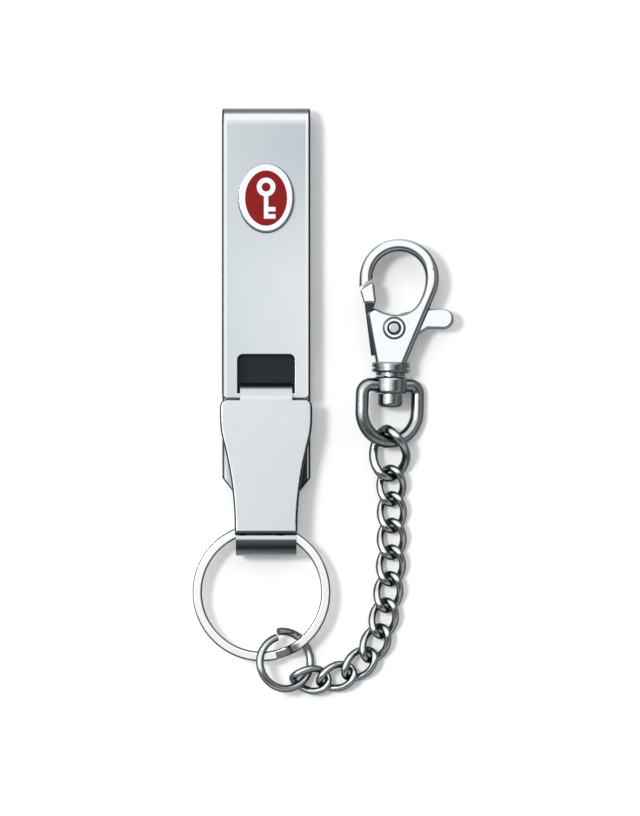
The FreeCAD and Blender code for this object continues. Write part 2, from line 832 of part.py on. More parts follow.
def hook_outline():
    nose_outer_x = hook_arch_x - hook_arch_radius
    nose_inner_x = hook_arch_x - throat_radius
    waist_right = swivel_point(hook_waist_half_width, waist_y)
    reach = waist_right - arch_centre
    foot_angle = math.atan2(reach.x, -reach.y)
    tangent_angle = foot_angle + math.acos(hook_arch_radius / reach.Length)
    flank = swivel_point(
        hook_arch_x + hook_arch_radius * math.cos(tangent_angle),
        hook_arch_y + hook_arch_radius * math.sin(tangent_angle),
    )
    nose_y = across_rivet(nose_outer_x, nose_radius) - hook_nose_spare
    nose_outer = swivel_point(nose_outer_x, nose_y)
    nose_inner = swivel_point(nose_inner_x, nose_y)
    arch_left = swivel_point(nose_outer_x, hook_arch_y)
    crown = swivel_point(hook_arch_x, hook_arch_y + hook_arch_radius)
    waist_left = swivel_point(-hook_waist_half_width, waist_y)
    cheek_corner = swivel_point(-hook_cheek_left, hook_cheek_top)
    throat_corner = swivel_point(-throat_corner_x, throat_corner_y)
    throat_low = swivel_point(throat_low_x, throat_low_y)
    throat_right = swivel_point(hook_arch_x + throat_radius, throat_y)
    throat_crown = swivel_point(hook_arch_x, throat_y + throat_radius)
    throat_left = swivel_point(nose_inner_x, throat_y)
    return [
        line(nose_outer, arch_left),
        arc(arch_left, crown, flank),
        line(flank, waist_right),
        line(waist_right, waist_left),
        line(waist_left, cheek_corner),
        line(cheek_corner, throat_corner),
        arc(throat_corner, arc_from(throat_low, swivel_point(-1, 0), throat_corner), throat_low),
        *biarc(throat_low, swivel_point(1, 0), throat_right, swivel_point(0, 1)),
        arc(throat_right, throat_crown, throat_left),
        line(throat_left, nose_inner),
        line(nose_inner, nose_outer),
    ]


def plate_of(edges, thickness):
    """Plate of even thickness on both sides of the hook's middle plane."""
    plate = prism(edges, Vector(0, 0, thickness))
    plate.translate(Vector(0, 0, -thickness / 2))
    return plate


def rivet_cylinder(diameter, low, high):
    return Part.makeCylinder(diameter / 2, high - low, rivet_centre + Vector(0, 0, low), upright)


def make_hook():
    plate = plate_of(hook_outline(), hook_thickness)
    corner_x = [-hook_cheek_left, -throat_corner_x]
    nose_x = [hook_arch_x - hook_arch_radius, hook_arch_x - throat_radius]
    nose_y = across_rivet(nose_x[0], nose_radius)

    def is_corner(box):
        standing = box.ZLength > hook_thickness / 2
        low_enough = box.XMax < nose_y - 2 * hook_nose_spare
        return standing and low_enough and min(abs(box.YMin + x) for x in corner_x) < hook_rim_round / 4

    def rim(box):
        return box.ZLength < hook_thickness / 2 and box.XLength > hook_rim_round / 4

    plate = rounded(plate, hook_rim_round + hook_corner_extra, is_corner)
    plate = rounded(plate, hook_rim_round, rim)
    nose_end = plate_of(polygon([
        swivel_point(nose_x[0] - cut_overrun, nose_y - hook_nose_spare - cut_overrun),
        swivel_point(nose_x[1] + hook_arm_width / 2, nose_y - hook_nose_spare - cut_overrun),
        swivel_point(nose_x[1] + hook_arm_width / 2, hook_arch_y),
        swivel_point(nose_x[0] - cut_overrun, hook_arch_y),
    ]), hook_thickness)
    plate = plate.cut(nose_end.common(rivet_cylinder(2 * nose_radius, -hook_thickness, hook_thickness)))
    flange = axis_cylinder(flange_diameter, flange_neck_height, flange_neck_height + flange_height)
    flange = rounded(flange, flange_edge_round, lambda b: b.XLength < flange_height / 2)
    groove_low = flange_neck_height + flange_groove_rise
    groove_high = groove_low + flange_groove_height
    groove = axis_cylinder(flange_diameter + cut_overrun, groove_low, groove_high)
    groove_core = axis_cylinder(flange_diameter - 2 * flange_groove_depth, groove_low, groove_high)
    flange = flange.cut(groove.cut(groove_core))
    neck = axis_cylinder(flange_neck_diameter, 0, flange_neck_height)
    boss = rounded(rivet_cylinder(boss_diameter, -half_boss, half_boss), boss_edge_round,
                   lambda b: b.ZLength < boss_height)
    body = fuse([plate, boss, flange, neck])
    half_slot = trigger_thickness / 2 + slot_side_clearance
    far = lever_tip_x
    slot = plate_of(polygon([
        swivel_point(-far, slot_floor_y),
        swivel_point(far, slot_floor_y),
        swivel_point(far, slot_roof_y),
        swivel_point(slot_roof_inner_x, slot_roof_y),
        swivel_point(slot_roof_inner_x, gate_foot_y + cut_overrun),
        swivel_point(-far, gate_foot_y + cut_overrun),
    ]), 2 * half_slot)
    body = body.cut(slot)
    head_bore = rivet_head_diameter + 2 * rivet_head_clearance
    body = body.cut(rivet_cylinder(rivet_diameter, -half_boss - cut_overrun, half_boss + cut_overrun))
    for low, high in ((rivet_head_seat, half_boss + cut_overrun),
                      (-half_boss - cut_overrun, -rivet_head_seat)):
        body = body.cut(rivet_cylinder(head_bore, low, high))
    body = body.cut(axis_cylinder(stud_diameter, -cut_overrun, stud_seat_depth))
    return placed(body, swivel_origin, swivel_along, upright)


def make_rivet():
    head_top = rivet_head_seat + rivet_head_height
    shank = rivet_cylinder(rivet_diameter, -head_top, head_top)
    heads = [
        rivet_cylinder(rivet_head_diameter, rivet_head_seat, head_top),
        rivet_cylinder(rivet_head_diameter, -head_top, -rivet_head_seat),
    ]
    rivet = rounded(fuse([shank] + heads), rivet_head_round,
                    lambda b: min(abs(b.ZMin), abs(b.ZMax)) > rivet_head_seat + rivet_head_round)
    return placed(rivet, swivel_origin, swivel_along, upright)


# Trigger and its spring
spring_radius = rivet_diameter / 2 + spring_inner_clearance + spring_wire / 2
spring_height = spring_turns * spring_pitch + spring_wire
spring_reach = math.hypot(spring_radius, spring_leg_length) + spring_wire / 2
pocket_radius = spring_reach + spring_pocket_clearance
slot_face_z = trigger_thickness / 2 + slot_side_clearance
pocket_floor_z = slot_face_z - spring_height - 2 * spring_pocket_clearance
spring_low_z = pocket_floor_z + spring_pocket_clearance + spring_wire / 2


def make_gate():
    """Full-thickness head of the trigger, closing the hook's mouth."""
    outer_x = hook_arch_x - hook_arch_radius + gate_inset
    inner_top_x = hook_arch_x - throat_radius + gate_inset
    middle_x = (outer_x + inner_top_x) / 2
    outer_top = swivel_point(outer_x, across_rivet(outer_x, gate_radius))
    inner_top = swivel_point(inner_top_x, across_rivet(inner_top_x, gate_radius))
    middle_top = swivel_point(middle_x, across_rivet(middle_x, gate_radius))
    outer_foot = swivel_point(cheek_left(gate_foot_y) - gate_inset, gate_foot_y)
    inner_foot = swivel_point(-gate_inner_x, gate_foot_y)
    gate = plate_of([
        line(outer_foot, outer_top),
        arc(outer_top, middle_top, inner_top),
        line(inner_top, inner_foot),
        line(inner_foot, outer_foot),
    ], hook_thickness)
    return rounded(gate, gate_edge_round, lambda b: True)


def make_lever_plate():
    """Thin plate of the trigger: spine, hub and thumb lever."""
    spine_top = swivel_point(cheek_left(gate_foot_y) - gate_inset, gate_foot_y + spine_proud)
    spine_foot = swivel_point(cheek_left(spine_foot_y) - spine_proud, spine_foot_y)
    spine_inner = swivel_point(cheek_left(spine_foot_y) - spine_proud + spine_width, spine_foot_y)
    hub_foot = swivel_point(rivet_x, rivet_y - hub_radius)
    hub_top = swivel_point(rivet_x, rivet_y + hub_radius)
    hub_left = swivel_point(rivet_x - hub_radius, rivet_y + hub_radius / 2)
    link_inner = swivel_point(-link_inner_x, link_inner_y)
    lever_root = swivel_point(lever_root_x, lever_root_y)
    root_end = swivel_point(lever_root_x + lever_tip_round, lever_low_y)
    low_end = swivel_point(lever_tip_x - lever_tip_round, lever_low_y)
    tip = swivel_point(lever_tip_x, (lever_low_y + lever_top_y) / 2)
    top_end = swivel_point(lever_tip_x - lever_tip_round, lever_top_y)
    top_root = swivel_point(lever_root_x, lever_top_y)
    gate_inner = swivel_point(-gate_inner_x, gate_foot_y + spine_proud)
    plate = plate_of([
        line(spine_top, spine_foot),
        line(spine_foot, spine_inner),
        line(spine_inner, hub_foot),
        line(hub_foot, lever_root),
        line(lever_root, root_end),
        line(root_end, low_end),
        arc(low_end, tip, top_end),
        line(top_end, top_root),
        line(top_root, hub_top),
        line(hub_top, hub_left),
        line(hub_left, link_inner),
        line(link_inner, gate_inner),
        line(gate_inner, spine_top),
    ], trigger_thickness)

    def lever_rim(box):
        return box.ZLength < trigger_thickness / 2 and box.YMax < -lever_root_x + trigger_edge_round

    return rounded(plate, trigger_edge_round, lever_rim)


def spring_points():
    """Stations of the spring: a straight leg, the turns by quarters, and the other leg."""
    quarters = round(4 * spring_turns)
    stations = []
    for quarter in range(quarters + 1):
        angle = quarter * math.pi / 2
        out = Vector(math.cos(angle), math.sin(angle), 0)
        rise = spring_low_z + spring_pitch * quarter / 4
        point = rivet_centre + out * spring_radius + upright * rise
        slope = spring_pitch / (2 * math.pi * spring_radius)
        tangent = unit(Vector(-math.sin(angle), math.cos(angle), slope))
        stations.append((point, tangent))
    return stations


def spring_path():
    stations = spring_points()
    points = [point for point, tangent in stations]
    tangents = [tangent for point, tangent in stations]
    edges = biarc_path(points, tangents).Edges
    first = line(points[0] - tangents[0] * spring_leg_length, points[0])
    last = line(points[-1], points[-1] + tangents[-1] * spring_leg_length)
    return Part.Wire([first] + edges + [last])


def spring_self_gap():
    """Least clear distance between places over half a turn apart along the spring."""
    points = spring_path().discretize(spring_sample_count)
    length = spring_path().Length
    apart = math.ceil(math.pi * spring_radius / length * spring_sample_count)
    return least_gap(points, apart) - spring_wire


def make_spring():
    point, tangent = spring_points()[0]
    start = point - tangent * spring_leg_length
    profile = Part.Wire([Part.Circle(start, tangent, spring_wire / 2).toShape()])
    return placed(sweep(spring_path(), profile), swivel_origin, swivel_along, upright)


def make_trigger():
    trigger = fuse([make_gate(), make_lever_plate()])
    bore = rivet_cylinder(rivet_diameter + 2 * rivet_clearance, -trigger_thickness, trigger_thickness)
    pocket = rivet_cylinder(2 * pocket_radius, pocket_floor_z, slot_face_z)
    trigger = trigger.cut(bore).cut(pocket)
    return placed(trigger, swivel_origin, swivel_along, upright)


def report_gaps():
    """Prints the least gap of each wound piece to itself."""
    print("split ring least gap to itself", round(ring_self_gap(), 3))
    print("jump ring opening", round(jump_ring_opening(), 3))
    print("trigger spring least gap to itself", round(spring_self_gap(), 3))


def report_hinges():
    """Prints the points that the hinge axes pass through."""
    for name, point in (("hanger", hanger_axis), ("split ring", ring_axis), ("jump ring", ring_centre),
                        ("bail", bail_low), ("swivel", swivel_origin)):
        print("hinge", name, round(point.x, 3), round(point.y, 3), round(point.z, 3))


os.makedirs("parts", exist_ok=True)


def main():
    badge_base, badge_enamel, badge_enamel_dot = make_badge()
    connecting_link = make_curb_link(
        connecting_half_length, connecting_half_width, connecting_twist_deg, connecting_wire,
    )
    connecting_up = rolled_up(connecting_along, connecting_roll_deg)
    nodes = {
        "clip_body": make_clip(),
        "badge_base": badge_base,
        "badge_enamel": badge_enamel,
        "badge_enamel_dot": badge_enamel_dot,
        "key_hanger": make_hanger(),
        "split_ring": make_ring(),
        "jump_ring": make_jump_ring(),
        "connecting_link": placed(connecting_link, connecting_centre, connecting_along, connecting_up),
        "swivel_bail": make_bail(),
        "swivel_stud": make_stud(),
        "hook_body": make_hook(),
        "trigger": make_trigger(),
        "trigger_rivet": make_rivet(),
        "trigger_spring": make_spring(),
    }
    link = make_curb_link(link_half_length, link_half_width, link_twist_deg, link_wire)
    for count, centre in enumerate(link_centres):
        name = f"chain_link_{len(link_centres) - count:02d}"
        along = link_alongs[count]
        nodes[name] = placed(link, centre, along, rolled_up(along, link_rolls_deg[count]))
    for name, shape in nodes.items():
        print(name, shape.isValid(), len(shape.Solids), round(shape.Volume, 3))
        shape.exportStep(f"parts/{name}.step")
    report_gaps()
    report_hinges()


main()
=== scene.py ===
"""Looks of the belt key clip: materials, floor, light and camera, in metres."""

import math
from collections import namedtuple

import bpy
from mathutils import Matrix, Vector


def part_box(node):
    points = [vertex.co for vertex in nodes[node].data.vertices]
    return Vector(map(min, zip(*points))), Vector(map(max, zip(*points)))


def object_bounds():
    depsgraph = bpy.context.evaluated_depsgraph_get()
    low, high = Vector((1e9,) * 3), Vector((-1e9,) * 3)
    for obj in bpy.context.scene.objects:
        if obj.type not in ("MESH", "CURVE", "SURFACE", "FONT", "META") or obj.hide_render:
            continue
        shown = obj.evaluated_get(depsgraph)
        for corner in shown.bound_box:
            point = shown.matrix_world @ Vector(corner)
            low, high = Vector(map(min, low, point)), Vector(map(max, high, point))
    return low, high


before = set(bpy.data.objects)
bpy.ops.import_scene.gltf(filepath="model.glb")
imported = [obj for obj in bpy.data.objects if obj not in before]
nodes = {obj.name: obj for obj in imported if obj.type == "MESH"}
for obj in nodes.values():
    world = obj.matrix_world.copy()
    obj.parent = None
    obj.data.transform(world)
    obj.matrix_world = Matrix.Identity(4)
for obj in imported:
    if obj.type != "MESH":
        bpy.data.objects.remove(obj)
cad_low, cad_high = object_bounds()
mm = 0.001

# Picture: the camera looks straight down, and the clip's origin falls on a known pixel
image_width_px = 640
image_height_px = 816
origin_px = (266.4, 300.5)
px_per_metre = 5500.0
camera_height = 1.2
sensor_width_mm = 36.0

# Floor
floor_half_side = 1.5
floor_color = (0.99, 0.99, 0.99, 1)
floor_roughness = 0.9
floor_white_share = 0.13

# Soft light to one side of the zenith: levels by the cosine of the angle from its middle
soft_light_tilt_deg = 60.0
soft_light_bearing_deg = 115.0
soft_light_levels = [
    (-0.70, 0.62), (-0.38, 0.50), (-0.20, 0.12), (0.0, 0.09), (0.28, 0.16),
    (0.36, 0.30), (0.42, 1.20), (0.46, 1.30),
]
soft_light_tint = (0.985, 1.0, 1.015)

# Dimmer light all round, low down: levels by the sine of the height
low_light_levels = [(0.48, 0.50), (0.68, 0.0)]

# Key light, whose shadow falls to the right
key_tilt_deg = 25.0
key_bearing_deg = 160.0
key_distance = 0.9
key_size = 0.18
key_power = 4.0

# Metals: colours and roughness at both ends of a grain, the grain's scale and stretch, and its relief
Metal = namedtuple("Metal", "dark light rough_low rough_high grain stretch relief")
even = (1, 1, 1)
along_strip = (1, 0.03, 1)
steel_dark, steel_light = (0.525, 0.548, 0.560, 1), (0.545, 0.568, 0.580, 1)
strip_steel = Metal(steel_dark, steel_light, 0.26, 0.29, 4000, along_strip, 0.02)
hanger_steel = Metal(steel_dark, steel_light, 0.22, 0.26, 4000, along_strip, 0.02)
bright_plate = Metal((0.72, 0.73, 0.735, 1), (0.75, 0.76, 0.765, 1), 0.06, 0.10, 900, even, 0.03)
ring_plate = Metal((0.87, 0.88, 0.885, 1), (0.91, 0.92, 0.925, 1), 0.16, 0.21, 900, even, 0.03)
chain_plate = Metal((0.66, 0.68, 0.69, 1), (0.74, 0.76, 0.77, 1), 0.08, 0.16, 1200, even, 0.08)
# Swivel: the plating, a little rougher, with its colour darkened as painted shade
shaded_swivel_plate = Metal((0.42, 0.44, 0.45, 1), (0.52, 0.54, 0.55, 1), 0.16, 0.24, 1500, even, 0.08)
rivet_steel = Metal((0.40, 0.42, 0.43, 1), (0.50, 0.51, 0.52, 1), 0.22, 0.34, 1500, even, 0.15)
spring_steel = Metal((0.20, 0.21, 0.22, 1), (0.28, 0.29, 0.30, 1), 0.25, 0.35, 1500, even, 0.1)
grain_span = (0.3, 0.7)
grain_detail = 4.0
relief_fineness = 3
relief_detail = 2.0
relief_depth = 0.01 * mm

# Red enamel
enamel_dark, enamel_light = (0.19, 0.005, 0.004, 1), (0.23, 0.007, 0.006, 1)
enamel_grain = 700
enamel_roughness = 0.25
enamel_specular = 0.12

# Tones laid over a metal in places: colour and roughness. Most are painted shade or painted highlight.
Tone = namedtuple("Tone", "color roughness")
# Dark colour of painted shade, for outlines on edges and sides and for shade in gaps
painted_shade_color = (0.03, 0.036, 0.038, 1)
# Painted shade along the edges of the strip and the hanger
painted_edge_shade = Tone(painted_shade_color, 0.35)
# Painted shade in recesses and between parts
painted_gap_shade = Tone(painted_shade_color, 0.30)
# Painted shade on the split ring's steep sides
painted_ring_side_shade = Tone(painted_shade_color, 0.25)
# Painted shade on the steep sides of the sheet pieces
painted_sheet_flank_shade = Tone((0.13, 0.145, 0.15, 1), 0.30)
# Painted shade on the steep sides of the hook, trigger, badge, chain and swivel
painted_flank_shade = Tone((0.06, 0.07, 0.075, 1), 0.25)
# Painted shade, darker towards the top of the strip
painted_top_shade = Tone((0.375, 0.40, 0.42, 1), 0.27)
# Painted shade, darker towards the left of the strip
painted_left_shade = Tone((0.41, 0.44, 0.45, 1), 0.27)
# Painted highlight just inside the strip's rims
painted_rim_highlight = Tone((0.60, 0.62, 0.63, 1), 0.24)
# Painted highlight over the strip's bend
painted_bend_highlight = Tone((0.72, 0.735, 0.75, 1), 0.20)
# Painted shade on the inside of the fold
painted_inside_shade = Tone((0.020, 0.025, 0.026, 1), 0.22)
smooth_roll = Tone(steel_light, 0.12)
# Painted shade in a band on the downward face of the hanger's eye
painted_roll_shade = Tone((0.04, 0.046, 0.05, 1), 0.14)
hook_collar = Tone((0.34, 0.36, 0.37, 1), 0.22)
# Painted shade in a ring round the rivet's boss
painted_boss_shade = Tone((0.10, 0.11, 0.115, 1), 0.25)

# Where the tones lie: ranges of a facing's part along an axis, from none of the tone to all of it
edge_facing = (0.12, 0.45)
flank_facing = (0.91, 0.70)
wire_flank_facing = (0.91, 0.71)
ring_flank_facing = (0.95, 0.80)
sheet_flank_facing = (0.82, 0.68)
bend_facing = (0.04, 0.34)
fold_facing = (0.0, -0.3)
lit_facing = (0.30, 0.80)
lit_share = 0.7
roll_band_start = (-0.30, -0.44)
roll_band_end = (-0.80, -0.68)

# Places on the strip and the hanger
inside_inset = 0.45 * mm
edge_inset = 0.30 * mm
edge_step = 0.15 * mm
light_rim_inset = 0.80 * mm
tone_low_y = 4.0 * mm
tone_high_y = 27.0 * mm
left_share = 0.7
inside_foot_y = -18.5 * mm
roll_height = 4.1 * mm

# Places on the hook: its collar, the trigger's gate and lever, and the rings round the rivet
collar_height = 2.45 * mm
gate_height = 3.80 * mm
lever_length = 6.4 * mm
place_step = 0.12 * mm
boss_rim_radius = 1.72 * mm
boss_reach = 2.15 * mm
rivet_seat_radius = 1.34 * mm
rivet_top_radius = 0.86 * mm


def towards(tilt_deg, bearing_deg):
    """Unit vector that leans from straight up by a tilt, towards a bearing from +X to +Y."""
    tilt, bearing = math.radians(tilt_deg), math.radians(bearing_deg)
    return Vector((
        math.sin(tilt) * math.cos(bearing),
        math.sin(tilt) * math.sin(bearing),
        math.cos(tilt),
    ))


def ramp(tree, stops):
    """Colour ramp node with (position, colour) stops."""
    node = tree.nodes.new("ShaderNodeValToRGB")
    elements = node.color_ramp.elements
    while len(elements) < len(stops):
        elements.new(0.5)
    for element, (position, color) in zip(elements, stops):
        element.position = position
        element.color = color
    return node


def new_material(name):
    """Material with its node tree and its shader."""
    material = bpy.data.materials.new(name)
    material.use_nodes = True
    tree = material.node_tree
    return material, tree, tree.nodes["Principled BSDF"]


def object_noise(tree, scale, stretch=even, detail=grain_detail):
    """Noise in the piece's own coordinates, stretched along an axis by a small factor there."""
    place = tree.nodes.new("ShaderNodeTexCoord")
    mapping = tree.nodes.new("ShaderNodeMapping")
    mapping.inputs["Scale"].default_value = stretch
    noise = tree.nodes.new("ShaderNodeTexNoise")
    noise.inputs["Scale"].default_value = scale
    noise.inputs["Detail"].default_value = detail
    tree.links.new(place.outputs["Object"], mapping.inputs["Vector"])
    tree.links.new(mapping.outputs["Vector"], noise.inputs["Vector"])
    return noise.outputs["Fac"]


def mapped(tree, source, from_low, from_high, to_low=0.0, to_high=1.0):
    """Value mapped from one range to another, and held at its ends."""
    node = tree.nodes.new("ShaderNodeMapRange")
    node.inputs["From Min"].default_value = from_low
    node.inputs["From Max"].default_value = from_high
    node.inputs["To Min"].default_value = to_low
    node.inputs["To Max"].default_value = to_high
    tree.links.new(source, node.inputs["Value"])
    return node.outputs["Result"]


def calculated(tree, operation, first, second=None):
    """Result of a math node on one or two values."""
    node = tree.nodes.new("ShaderNodeMath")
    node.operation = operation
    tree.links.new(first, node.inputs[0])
    if second is not None:
        tree.links.new(second, node.inputs[1])
    return node.outputs["Value"]


def product(tree, first, second):
    return calculated(tree, "MULTIPLY", first, second)


def size_of(tree, value):
    return calculated(tree, "ABSOLUTE", value)


def split_axes(tree, kind):
    """X, Y and Z of a piece's own place (Object) or facing (Normal)."""
    place = tree.nodes.new("ShaderNodeTexCoord")
    split = tree.nodes.new("ShaderNodeSeparateXYZ")
    tree.links.new(place.outputs[kind], split.inputs["Vector"])
    return split.outputs["X"], split.outputs["Y"], split.outputs["Z"]


def overlay(tree, shader, mask, tone):
    """Lays a tone over a shader where the mask is 1."""
    inputs = (("Base Color", "RGBA", tone.color), ("Roughness", "FLOAT", tone.roughness))
    for name, kind, value in inputs:
        socket = shader.inputs[name]
        mix = tree.nodes.new("ShaderNodeMix")
        mix.data_type = kind
        mix.inputs["B"].default_value = value
        tree.links.new(socket.links[0].from_socket, mix.inputs["A"])
        tree.links.new(mask, mix.inputs["Factor"])
        tree.links.new(mix.outputs["Result"], socket)


def grained(tree, shader, dark, light, grain):
    """Colours a shader between two shades by a grain."""
    tint = ramp(tree, list(zip(grain_span, (dark, light))))
    tree.links.new(grain, tint.inputs["Fac"])
    tree.links.new(tint.outputs["Color"], shader.inputs["Base Color"])


def metal(name, look):
    """Metal whose colour and roughness follow one grain, and whose relief follows a finer one."""
    material, tree, shader = new_material(name)
    shader.inputs["Metallic"].default_value = 1.0
    grain = object_noise(tree, look.grain, look.stretch)
    grained(tree, shader, look.dark, look.light, grain)
    roughness = mapped(tree, grain, *grain_span, look.rough_low, look.rough_high)
    tree.links.new(roughness, shader.inputs["Roughness"])
    bump = tree.nodes.new("ShaderNodeBump")
    bump.inputs["Strength"].default_value = look.relief
    bump.inputs["Distance"].default_value = relief_depth
    relief = object_noise(tree, look.grain * relief_fineness, look.stretch, relief_detail)
    tree.links.new(relief, bump.inputs["Height"])
    tree.links.new(bump.outputs["Normal"], shader.inputs["Normal"])
    return material, tree, shader


def sideways(tree):
    """Mask of what faces left or right."""
    return mapped(tree, size_of(tree, split_axes(tree, "Normal")[0]), *edge_facing)


def steep(tree, facing):
    """Mask of the steep sides of a piece that lies flat."""
    return mapped(tree, size_of(tree, split_axes(tree, "Normal")[2]), *facing)


def near_rim(tree, half_width, inset):
    """Mask of a straight strip's rim, so far in from its edges."""
    across = size_of(tree, split_axes(tree, "Object")[0])
    return mapped(tree, across, half_width - inset - edge_step, half_width - inset)


def inside_of_fold(tree, low, high):
    """Mask of what faces the other leaf of the folded strip."""
    place_z = split_axes(tree, "Object")[2]
    facing_z = split_axes(tree, "Normal")[2]
    off_middle = mapped(tree, place_z, low.z, high.z, -1.0, 1.0)
    return mapped(tree, product(tree, facing_z, off_middle), *fold_facing)


def facing_light(tree):
    """Mask of what leans towards the soft light."""
    place = tree.nodes.new("ShaderNodeTexCoord")
    lean = tree.nodes.new("ShaderNodeVectorMath")
    lean.operation = "DOT_PRODUCT"
    lean.inputs[1].default_value = towards(90.0, soft_light_bearing_deg)
    tree.links.new(place.outputs["Normal"], lean.inputs[0])
    return mapped(tree, lean.outputs["Value"], *lit_facing, 0.0, lit_share)


def off_rivet(tree):
    """Distance from the rivet's axis."""
    low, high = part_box("trigger_rivet")
    middle = (low + high) / 2
    place = tree.nodes.new("ShaderNodeTexCoord")
    flat = tree.nodes.new("ShaderNodeVectorMath")
    flat.operation = "MULTIPLY"
    flat.inputs[1].default_value = (1, 1, 0)
    distance = tree.nodes.new("ShaderNodeVectorMath")
    distance.operation = "DISTANCE"
    distance.inputs[1].default_value = (middle.x, middle.y, 0)
    tree.links.new(place.outputs["Object"], flat.inputs[0])
    tree.links.new(flat.outputs["Vector"], distance.inputs[0])
    return distance.outputs["Value"]


def below(tree, axis, level):
    """Mask of a piece's places below a level on the X (0) or Y (1) axis."""
    place = split_axes(tree, "Object")[axis]
    return mapped(tree, place, level + place_step, level)


def strip_material():
    """Satin strip with painted shade to the top and left, on its steep sides and rims and inside the
    fold, and painted highlight inside its rims and over the bend.
    """
    low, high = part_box("clip_body")
    material, tree, shader = metal("brushed_strip", strip_steel)
    # Painted shade, darker towards the top
    upward = mapped(tree, split_axes(tree, "Object")[1], tone_low_y, tone_high_y)
    overlay(tree, shader, upward, painted_top_shade)
    # Painted shade, darker towards the left
    leftward = mapped(tree, split_axes(tree, "Object")[0], high.x, low.x, 0.0, left_share)
    overlay(tree, shader, leftward, painted_left_shade)
    # Painted highlight just inside the rims
    overlay(tree, shader, near_rim(tree, high.x, light_rim_inset), painted_rim_highlight)
    # Painted highlight over the bend
    bend = mapped(tree, split_axes(tree, "Normal")[1], *bend_facing)
    overlay(tree, shader, bend, painted_bend_highlight)
    # Painted shade on the steep sides and along the rims
    overlay(tree, shader, steep(tree, sheet_flank_facing), painted_sheet_flank_shade)
    overlay(tree, shader, sideways(tree), painted_edge_shade)
    overlay(tree, shader, near_rim(tree, high.x, edge_inset), painted_edge_shade)
    # Painted shade on the inside of the fold, left off the rims and the lit lower left corner
    fold = inside_of_fold(tree, low, high)
    lit_corner = product(tree, below(tree, 1, inside_foot_y), below(tree, 0, 0.0))
    open_part = calculated(tree, "MAXIMUM", near_rim(tree, high.x, inside_inset), lit_corner)
    core = calculated(tree, "SUBTRACT", fold, open_part)
    overlay(tree, shader, mapped(tree, core, 0.0, 1.0), painted_inside_shade)
    return material


def hanger_material():
    """Satin hanger with a smoother rolled eye, painted shade in a band along it, and painted shade on its
    steep sides and edges.
    """
    foot_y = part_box("key_hanger")[0].y
    material, tree, shader = metal("brushed_hanger", hanger_steel)
    roll = below(tree, 1, foot_y + roll_height)
    overlay(tree, shader, roll, smooth_roll)
    # Painted shade in a band on the eye's downward face
    facing_y = split_axes(tree, "Normal")[1]
    band = product(tree, mapped(tree, facing_y, *roll_band_start), mapped(tree, facing_y, *roll_band_end))
    overlay(tree, shader, product(tree, roll, band), painted_roll_shade)
    # Painted shade on the steep sides and edges
    overlay(tree, shader, steep(tree, sheet_flank_facing), painted_sheet_flank_shade)
    overlay(tree, shader, sideways(tree), painted_edge_shade)
    return material


def paint_flank_shade(tree, shader):
    """Paints shade on steep sides, less of it on those that lean to the light."""
    unlit = calculated(tree, "SUBTRACT", steep(tree, flank_facing), facing_light(tree))
    overlay(tree, shader, mapped(tree, unlit, 0.0, 1.0), painted_flank_shade)


def hook_material():
    """Bright hook with a rougher, darker collar at its foot, painted shade on its steep sides and painted
    shade in rings round the rivet.
    """
    foot_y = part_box("hook_body")[0].y
    material, tree, shader = metal("bright_hook", bright_plate)
    overlay(tree, shader, below(tree, 1, foot_y + collar_height), hook_collar)
    paint_flank_shade(tree, shader)
    # Painted shade in rings round the rivet's boss and in its seat
    reach = off_rivet(tree)
    rim_start = mapped(tree, reach, boss_rim_radius - place_step, boss_rim_radius)
    rim_end = mapped(tree, reach, boss_reach, boss_reach - place_step)
    overlay(tree, shader, product(tree, rim_start, rim_end), painted_boss_shade)
    # Painted shade in the rivet's seat
    seat = mapped(tree, reach, rivet_seat_radius, rivet_seat_radius - place_step)
    overlay(tree, shader, seat, painted_gap_shade)
    return material


def trigger_material():
    """Bright gate and lever, with painted shade on the spine between the cheeks and on the steep sides.
    """
    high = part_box("trigger")[1]
    material, tree, shader = metal("bright_trigger", bright_plate)
    paint_flank_shade(tree, shader)
    # Painted shade on the trigger's spine between the cheeks
    spine = product(tree, below(tree, 1, high.y - gate_height), below(tree, 0, high.x - lever_length))
    overlay(tree, shader, spine, painted_gap_shade)
    return material


def badge_material():
    """Bright plating of the badge, with painted shade on its steep sides."""
    material, tree, shader = metal("bright_plate", bright_plate)
    paint_flank_shade(tree, shader)
    return material


def flanked_material(name, look, facing, tone):
    """Metal that is bright on top, with painted shade on all its steep sides."""
    material, tree, shader = metal(name, look)
    overlay(tree, shader, steep(tree, facing), tone)
    return material


def rivet_material():
    """Satin rivet with painted shade round the edge of its top."""
    material, tree, shader = metal("satin_rivet", rivet_steel)
    # Painted shade round the rivet's top
    rim = mapped(tree, off_rivet(tree), rivet_top_radius, rivet_top_radius + place_step)
    overlay(tree, shader, rim, painted_gap_shade)
    return material


def enamel_material():
    material, tree, shader = new_material("red_enamel")
    grained(tree, shader, enamel_dark, enamel_light, object_noise(tree, enamel_grain))
    shader.inputs["Roughness"].default_value = enamel_roughness
    shader.inputs["Specular IOR Level"].default_value = enamel_specular
    return material


